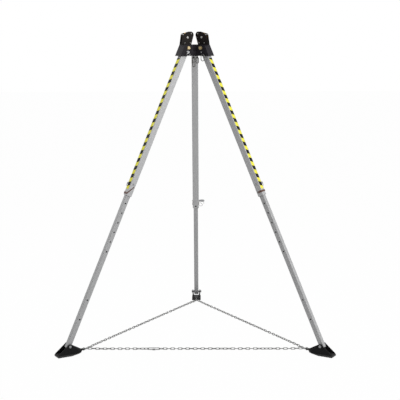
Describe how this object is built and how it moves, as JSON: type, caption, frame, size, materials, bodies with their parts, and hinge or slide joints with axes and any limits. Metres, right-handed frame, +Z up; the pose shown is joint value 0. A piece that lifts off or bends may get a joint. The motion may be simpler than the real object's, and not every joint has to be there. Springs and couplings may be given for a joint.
{
  "type": "rescue tripod",
  "caption": "Rescue tripod: telescoping aluminium legs with hazard tape under a black steel head with rope pulleys, hinged feet and a spreader chain.",
  "frame": {"origin": "on the floor, on the axis of the head, midway between the feet", "axes": "+Z up the axis of the head, -Y towards the side between the two legs that carry the pulleys, +Y along the rear leg"},
  "size_m": [1.8934, 1.6398, 2.1523],
  "materials": {
    "black_coat": "satin powder coat",
    "cheek_coat": "satin powder coat, slightly brown",
    "yellow_zinc": "yellow zinc plating",
    "nylon_white": "matt",
    "bright_steel": "zinc plated",
    "sheave_brass": "machined",
    "upper_aluminium": "satin anodised",
    "lower_aluminium": "satin anodised",
    "hazard_vinyl": "yellow and black diagonal stripes",
    "nylon_black": "matt",
    "strap_brown": "matt",
    "cable_steel": "coated wire rope",
    "sole_rubber": "matt",
    "chain_zinc": "zinc plated"
  },
  "bodies": {
    "head": {"head_shell": "black_coat", "pivot_bolts": "yellow_zinc", "pivot_nuts": "yellow_zinc", "pivot_spacers": "nylon_white", "pulley_cheeks": "cheek_coat", "pulley_axles": "bright_steel", "pulley_screws": "bright_steel"},
    "leg_left": {"upper_tube_left": "upper_aluminium", "hazard_tape_left": "hazard_vinyl", "mouth_guide_left": "nylon_black", "pin_strap_left": "strap_brown", "lanyard_left": "cable_steel"},
    "lower_left": {"lower_tube_left": "lower_aluminium", "guide_plug_left": "nylon_black", "foot_bolt_left": "bright_steel"},
    "foot_body_left": {"foot_left": "black_coat", "sole_left": "sole_rubber"},
    "ring_left": {"tab_ring_left": "chain_zinc"},
    "lock_left": {"lock_pin_left": "bright_steel"},
    "stop_left": {"stop_pin_left": "bright_steel"},
    "links_left_front": {"chain_left_front": "chain_zinc"},
    "links_left_back": {"chain_left_back": "chain_zinc"},
    "leg_right": {"upper_tube_right": "upper_aluminium", "hazard_tape_right": "hazard_vinyl", "mouth_guide_right": "nylon_black", "pin_strap_right": "strap_brown", "lanyard_right": "cable_steel"},
    "lower_right": {"lower_tube_right": "lower_aluminium", "guide_plug_right": "nylon_black", "foot_bolt_right": "bright_steel"},
    "foot_body_right": {"foot_right": "black_coat", "sole_right": "sole_rubber"},
    "ring_right": {"tab_ring_right": "chain_zinc"},
    "lock_right": {"lock_pin_right": "bright_steel"},
    "stop_right": {"stop_pin_right": "bright_steel"},
    "links_right_front": {"chain_right_front": "chain_zinc"},
    "links_right_back": {"chain_right_back": "chain_zinc"},
    "leg_rear": {"upper_tube_rear": "upper_aluminium", "hazard_tape_rear": "hazard_vinyl", "mouth_guide_rear": "nylon_black", "pin_strap_rear": "strap_brown", "lanyard_rear": "cable_steel"},
    "lower_rear": {"lower_tube_rear": "lower_aluminium", "guide_plug_rear": "nylon_black", "foot_bolt_rear": "bright_steel"},
    "foot_body_rear": {"foot_rear": "black_coat", "sole_rear": "sole_rubber"},
    "ring_rear": {"tab_ring_rear": "chain_zinc"},
    "lock_rear": {"lock_pin_rear": "bright_steel"},
    "stop_rear": {"stop_pin_rear": "bright_steel"},
    "links_rear_left": {"chain_rear_left": "chain_zinc"},
    "links_rear_right": {"chain_rear_right": "chain_zinc"},
    "sheave_body_left": {"sheave_left": "sheave_brass"},
    "sheave_body_right": {"sheave_right": "sheave_brass"},
    "quick_link": {"anchor_quick_link": "bright_steel"},
    "short_link": {"anchor_link": "bright_steel"},
    "side_ring_body": {"side_ring": "bright_steel"}
  },
  "joints": [
    {"name": "leg_fold_left", "type": "hinge", "parent": "head", "child": "leg_left", "pos_m": [-0.06062, -0.035, 2.04135], "axis": [0.5, -0.866, 0], "range_deg": [0, 22], "deforming": ["chain_left_front", "chain_left_back"]},
    {"name": "leg_slide_left", "type": "slide", "parent": "leg_left", "child": "lower_left", "axis": [0.3646, 0.2105, 0.907], "range_m": [0, 0.42], "deforming": ["chain_left_front", "chain_left_back"]},
    {"name": "foot_tilt_left", "type": "hinge", "parent": "lower_left", "child": "foot_body_left", "pos_m": [-0.8539, -0.493, 0.068], "axis": [0.5, -0.866, 0], "range_deg": [-15, 15], "deforming": ["chain_left_front", "chain_left_back"]},
    {"name": "tab_ring_turn_left", "type": "hinge", "parent": "foot_body_left", "child": "ring_left", "pos_m": [-0.76557, -0.442, 0.0265], "axis": [0.5, -0.866, 0], "range_deg": [-15, 15]},
    {"name": "chain_droop_left_front", "type": "hinge", "parent": "ring_left", "child": "links_left_front", "pos_m": [-0.72495, -0.433, 0.029], "axis": [0, 1, 0], "range_deg": [0, 30], "deforming": ["chain_left_front"]},
    {"name": "chain_droop_left_back", "type": "hinge", "parent": "ring_left", "child": "links_left_back", "pos_m": [-0.73747, -0.41133, 0.024], "axis": [-0.866, 0.5, 0], "range_deg": [0, 30], "deforming": ["chain_left_back"]},
    {"name": "lock_pull_left", "type": "slide", "parent": "leg_left", "child": "lock_left", "axis": [-0.5, 0.866, 0], "range_m": [0, 0.055], "deforming": ["lanyard_left"]},
    {"name": "stop_pull_left", "type": "slide", "parent": "head", "child": "stop_left", "axis": [0.5, -0.866, 0], "range_m": [0, 0.085]},
    {"name": "leg_fold_right", "type": "hinge", "parent": "head", "child": "leg_right", "pos_m": [0.06062, -0.035, 2.04135], "axis": [0.5, 0.866, 0], "range_deg": [0, 22], "deforming": ["chain_right_front", "chain_right_back"]},
    {"name": "leg_slide_right", "type": "slide", "parent": "leg_right", "child": "lower_right", "axis": [-0.3646, 0.2105, 0.907], "range_m": [0, 0.42], "deforming": ["chain_right_front", "chain_right_back"]},
    {"name": "foot_tilt_right", "type": "hinge", "parent": "lower_right", "child": "foot_body_right", "pos_m": [0.8539, -0.493, 0.068], "axis": [0.5, 0.866, 0], "range_deg": [-15, 15], "deforming": ["chain_right_front", "chain_right_back"]},
    {"name": "tab_ring_turn_right", "type": "hinge", "parent": "foot_body_right", "child": "ring_right", "pos_m": [0.76557, -0.442, 0.0265], "axis": [0.5, 0.866, 0], "range_deg": [-15, 15]},
    {"name": "chain_droop_right_front", "type": "hinge", "parent": "ring_right", "child": "links_right_front", "pos_m": [0.72495, -0.433, 0.029], "axis": [0, -1, 0], "range_deg": [0, 30], "deforming": ["chain_right_front"]},
    {"name": "chain_droop_right_back", "type": "hinge", "parent": "ring_right", "child": "links_right_back", "pos_m": [0.73747, -0.41133, 0.024], "axis": [-0.866, -0.5, 0], "range_deg": [0, 30], "deforming": ["chain_right_back"]},
    {"name": "lock_pull_right", "type": "slide", "parent": "leg_right", "child": "lock_right", "axis": [0.5, 0.866, 0], "range_m": [0, 0.055], "deforming": ["lanyard_right"]},
    {"name": "stop_pull_right", "type": "slide", "parent": "head", "child": "stop_right", "axis": [0.5, 0.866, 0], "range_m": [0, 0.085]},
    {"name": "leg_fold_rear", "type": "hinge", "parent": "head", "child": "leg_rear", "pos_m": [0, 0.07, 2.04135], "axis": [-1, 0, 0], "range_deg": [0, 22], "deforming": ["chain_rear_left", "chain_rear_right"]},
    {"name": "leg_slide_rear", "type": "slide", "parent": "leg_rear", "child": "lower_rear", "axis": [0, -0.421, 0.907], "range_m": [-0.28, 0.14], "deforming": ["chain_rear_left", "chain_rear_right"]},
    {"name": "foot_tilt_rear", "type": "hinge", "parent": "lower_rear", "child": "foot_body_rear", "pos_m": [0, 0.986, 0.068], "axis": [-1, 0, 0], "range_deg": [-15, 15], "deforming": ["chain_rear_left", "chain_rear_right"]},
    {"name": "tab_ring_turn_rear", "type": "hinge", "parent": "foot_body_rear", "child": "ring_rear", "pos_m": [0, 0.884, 0.0265], "axis": [-1, 0, 0], "range_deg": [-15, 15]},
    {"name": "chain_droop_rear_left", "type": "hinge", "parent": "ring_rear", "child": "links_rear_left", "pos_m": [-0.01251, 0.84433, 0.024], "axis": [0.866, -0.5, 0], "range_deg": [0, 30], "deforming": ["chain_rear_left"]},
    {"name": "chain_droop_rear_right", "type": "hinge", "parent": "ring_rear", "child": "links_rear_right", "pos_m": [0.01251, 0.84433, 0.029], "axis": [0.866, 0.5, 0], "range_deg": [0, 30], "deforming": ["chain_rear_right"]},
    {"name": "lock_pull_rear", "type": "slide", "parent": "leg_rear", "child": "lock_rear", "axis": [1, 0, 0], "range_m": [0, 0.055], "deforming": ["lanyard_rear"]},
    {"name": "stop_pull_rear", "type": "slide", "parent": "head", "child": "stop_rear", "axis": [-1, 0, 0], "range_m": [0, 0.085]},
    {"name": "sheave_spin_left", "type": "hinge", "parent": "head", "child": "sheave_body_left", "pos_m": [-0.05543, -0.032, 2.11335], "axis": [0.5, -0.866, 0], "continuous": true},
    {"name": "sheave_spin_right", "type": "hinge", "parent": "head", "child": "sheave_body_right", "pos_m": [0.05543, -0.032, 2.11335], "axis": [0.5, 0.866, 0], "continuous": true},
    {"name": "quick_link_swing", "type": "hinge", "parent": "head", "child": "quick_link", "pos_m": [-0.006, -0.03, 1.97735], "axis": [1, 0, 0], "range_deg": [-45, 45]},
    {"name": "short_link_swing", "type": "hinge", "parent": "head", "child": "short_link", "pos_m": [0.018, -0.03, 1.97735], "axis": [1, 0, 0], "range_deg": [-45, 45]},
    {"name": "side_ring_swing", "type": "hinge", "parent": "head", "child": "side_ring_body", "pos_m": [0.05494, -0.08484, 1.99935], "axis": [-0.866, 0.5, 0], "range_deg": [0, 60]}
  ],
  "couplings": [
    {"joint": "tab_ring_turn_left", "follows": "foot_tilt_left", "ratio": -1},
    {"joint": "tab_ring_turn_right", "follows": "foot_tilt_right", "ratio": -1},
    {"joint": "tab_ring_turn_rear", "follows": "foot_tilt_rear", "ratio": -1}
  ]
}
